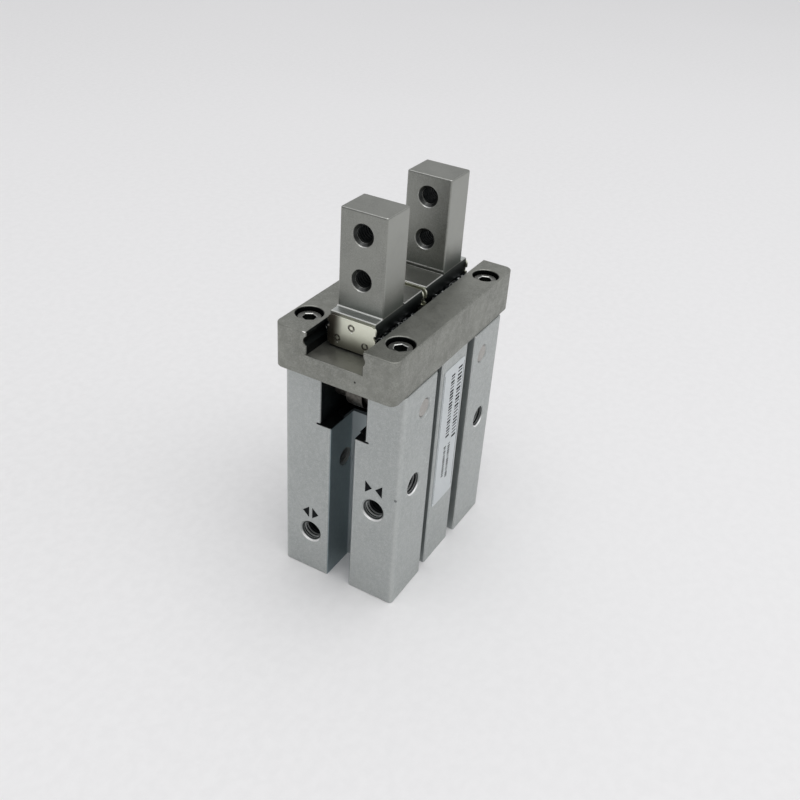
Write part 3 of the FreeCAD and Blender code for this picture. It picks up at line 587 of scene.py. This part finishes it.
class Inked:
    """Flat closed prisms of ink, gathered in one mesh. place(u, v, h) maps
    drawing coordinates and height above the surface to the row frame."""

    def __init__(self, name, place, lift, thick):
        self.name, self.place = name, place
        self.lift, self.thick = lift, thick
        self.v, self.f = [], []

    def ring_strip(self, outer, inner, closed=True):
        """Prism between two outlines of equal length."""
        n = len(outer)
        b = len(self.v)
        for h in (self.lift, self.lift + self.thick):
            for line in (outer, inner):
                self.v += [self.place(u, v, h) for u, v in line]
        lo_o, lo_i, hi_o, hi_i = b, b + n, b + 2 * n, b + 3 * n
        last = n if closed else n - 1
        for k in range(last):
            j = (k + 1) % n
            self.f += [(lo_o + k, lo_o + j, lo_i + j, lo_i + k),
                       (hi_o + k, hi_i + k, hi_i + j, hi_o + j),
                       (lo_o + k, hi_o + k, hi_o + j, lo_o + j),
                       (lo_i + k, lo_i + j, hi_i + j, hi_i + k)]
        if not closed:
            for k in (0, n - 1):
                self.f.append((lo_o + k, lo_i + k, hi_i + k, hi_o + k))

    def poly(self, pts):
        n, b = len(pts), len(self.v)
        for h in (self.lift, self.lift + self.thick):
            self.v += [self.place(u, v, h) for u, v in pts]
        self.f.append(tuple(range(b, b + n)))
        self.f.append(tuple(range(b + n, b + 2 * n)))
        for k in range(n):
            j = (k + 1) % n
            self.f.append((b + k, b + j, b + n + j, b + n + k))

    def make(self, mat):
        return mesh_object(self.name, self.v, self.f, mat)


# ---------------------------------------------------------------- port marks
BODY_LO, BODY_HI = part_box("body")


def end_face(cy, cz):
    """u runs to the right as seen from outside the -X face, v runs up."""
    return lambda u, v, h: (BODY_LO.x - h, cy - u, cz + v)


def arrow_pair(ink_mesh, apart):
    """Two solid arrowheads: pointing apart for the opening port, together for
    the closing port."""
    tip, back = (2.00, 0.40) if apart else (0.40, 2.00)
    for side in (-1, 1):
        ink_mesh.poly([(side * tip * MM, 0.0), (side * back * MM, 1.45 * MM),
                       (side * back * MM, -1.45 * MM)])


marks = []
m_o = Inked("port_mark_open", end_face(0.0073, 0.0158), 0.0, 0.02 * MM)
arrow_pair(m_o, True)
marks.append(m_o.make(MAT_INK))
m_s = Inked("port_mark_close", end_face(-0.0079, 0.0290), 0.0, 0.02 * MM)
arrow_pair(m_s, False)
marks.append(m_s.make(MAT_INK))
for o in marks:
    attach(o, "gripper_body")

# ---------------------------------------------------------------- label print
LAB_LO, LAB_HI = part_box("label")


def label_face(u, v, h):
    """u along +X, v along +Z, on the label's outer face."""
    return (u, LAB_LO.y - h, v)


rng = random.Random(7)
print_ink = Inked("label_print", label_face, 0.0, 0.01 * MM)


def bar_row(x_mid, z_top, z_end, height, pitch):
    """Plain parallel bars across the row, none joined to another."""
    z = z_top
    while z - pitch > z_end:
        thick = pitch * rng.choice((0.34, 0.50, 0.62))
        print_ink.poly([(x_mid - 0.5 * height, z), (x_mid + 0.5 * height, z),
                        (x_mid + 0.5 * height, z - thick), (x_mid - 0.5 * height, z - thick)])
        z -= pitch


bar_row(2.75 * MM, 48.6 * MM, 30.5 * MM, 1.80 * MM, 0.86 * MM)
bar_row(-0.35 * MM, 48.0 * MM, 32.0 * MM, 1.55 * MM, 0.76 * MM)
bar_row(1.0 * MM, 30.0 * MM, 20.0 * MM, 0.95 * MM, 0.60 * MM)
bar_row(-0.9 * MM, 30.0 * MM, 21.0 * MM, 0.95 * MM, 0.60 * MM)
# thin border lines down both long sides
for bx in (LAB_LO.x + 0.35 * MM, LAB_HI.x - 0.35 * MM):
    print_ink.poly([(bx - 0.05 * MM, LAB_HI.z - 1.0 * MM), (bx + 0.05 * MM, LAB_HI.z - 1.0 * MM),
                    (bx + 0.05 * MM, LAB_LO.z + 1.0 * MM), (bx - 0.05 * MM, LAB_LO.z + 1.0 * MM)])
lp = print_ink.make(MAT_INK)
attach(lp, "gripper_body")

# ---------------------------------------------------------------- floor
def floor_material():
    m = Tree("pale_floor")
    a = m.noise(420, 4, 0.6)
    b = m.noise(4, 2, 0.5)
    base = m.mix(m.ramp(a, 0.3, 0.7), (0.832, 0.830, 0.836), (0.862, 0.860, 0.866))
    base = m.mix(m.ramp(b, 0.3, 0.7, 0, 0.4), base, (0.874, 0.872, 0.880))
    m.set("Base Color", base)
    m.set("Roughness", m.ramp(a, 0.3, 0.7, 0.62, 0.72))
    m.link(m.bump(a, 0.08, 0.0002), m.bsdf.inputs["Normal"])
    m.bsdf.inputs["Specular IOR Level"].default_value = 0.25
    return m.mat


floor = mesh_object("floor", [(-4, -4, 0), (4, -4, 0), (4, 4, 0), (-4, 4, 0)],
                    [(0, 1, 2, 3)], floor_material())

# ---------------------------------------------------------------- light
scene = bpy.context.scene
scene.view_settings.view_transform = "Standard"
world = bpy.data.worlds.new("studio")
scene.world = world
world.use_nodes = True
wt = world.node_tree
wt.nodes.clear()
w_out = wt.nodes.new("ShaderNodeOutputWorld")
w_bg = wt.nodes.new("ShaderNodeBackground")
w_co = wt.nodes.new("ShaderNodeTexCoord")
w_sep = wt.nodes.new("ShaderNodeSeparateXYZ")
w_ramp = wt.nodes.new("ShaderNodeValToRGB")
wt.links.new(w_co.outputs["Generated"], w_sep.inputs[0])
wt.links.new(w_sep.outputs["Z"], w_ramp.inputs["Fac"])
wt.links.new(w_ramp.outputs["Color"], w_bg.inputs["Color"])
wt.links.new(w_bg.outputs[0], w_out.inputs["Surface"])
els = w_ramp.color_ramp.elements
els[0].position, els[0].color = 0.0, (0.42, 0.425, 0.43, 1)
els[1].position, els[1].color = 1.0, (0.80, 0.80, 0.81, 1)
e = els.new(0.30); e.color = (0.60, 0.60, 0.605, 1)
e = els.new(0.62); e.color = (0.64, 0.64, 0.65, 1)
# low down, the room is brighter beyond the far side, +X, than behind the ports
w_side = wt.nodes.new("ShaderNodeMapRange")
w_side.interpolation_type = "SMOOTHSTEP"
w_side.inputs["From Min"].default_value = -0.7
w_side.inputs["From Max"].default_value = 0.9
w_side.inputs["To Min"].default_value = 0.62
w_side.inputs["To Max"].default_value = 1.06
w_high = wt.nodes.new("ShaderNodeMapRange")
w_high.interpolation_type = "SMOOTHSTEP"
w_high.inputs["From Min"].default_value = 0.50
w_high.inputs["From Max"].default_value = 0.80
w_mix = wt.nodes.new("ShaderNodeMix")
w_mix.data_type = "FLOAT"
w_mix.inputs["B"].default_value = 0.86
wt.links.new(w_sep.outputs["X"], w_side.inputs["Value"])
wt.links.new(w_sep.outputs["Z"], w_high.inputs["Value"])
wt.links.new(w_high.outputs["Result"], w_mix.inputs["Factor"])
wt.links.new(w_side.outputs["Result"], w_mix.inputs["A"])
wt.links.new(w_mix.outputs["Result"], w_bg.inputs["Strength"])


def area(name, loc, target, size, power, colour=(1, 1, 1)):
    d = bpy.data.lights.new(name, "AREA")
    d.shape = "RECTANGLE"
    d.size, d.size_y = size
    d.energy = power
    d.color = colour
    o = bpy.data.objects.new(name, d)
    scene.collection.objects.link(o)
    o.location = loc
    o.rotation_mode = "QUATERNION"
    o.rotation_quaternion = (Vector(target) - Vector(loc)).to_track_quat("-Z", "Y")
    return o


area("ceiling", (-0.22, -0.28, 1.3), (0, 0, 0.04), (1.5, 1.5), 9.5, (1.0, 0.995, 0.985))
area("window", (0.35, -1.1, 0.65), (0, 0, 0.04), (0.9, 0.8), 1.1, (0.97, 0.99, 1.0))

# ---------------------------------------------------------------- camera
cam_data = bpy.data.cameras.new("camera")
cam = bpy.data.objects.new("camera", cam_data)
scene.collection.objects.link(cam)
cam_data.sensor_width = 36.0
cam_data.lens = 42.67
cam_data.clip_start, cam_data.clip_end = 0.005, 20.0
right = Vector((0.50057, -0.86354, 0.06100))
down = Vector((-0.44718, -0.31827, -0.83590))
fwd = Vector((0.74125, 0.39115, -0.54548))
rot = Matrix((right, -down, -fwd)).transposed()
cam.matrix_world = Matrix.Translation(Vector((-0.152173, -0.081657, 0.148884))) @ rot.to_4x4()
scene.camera = cam
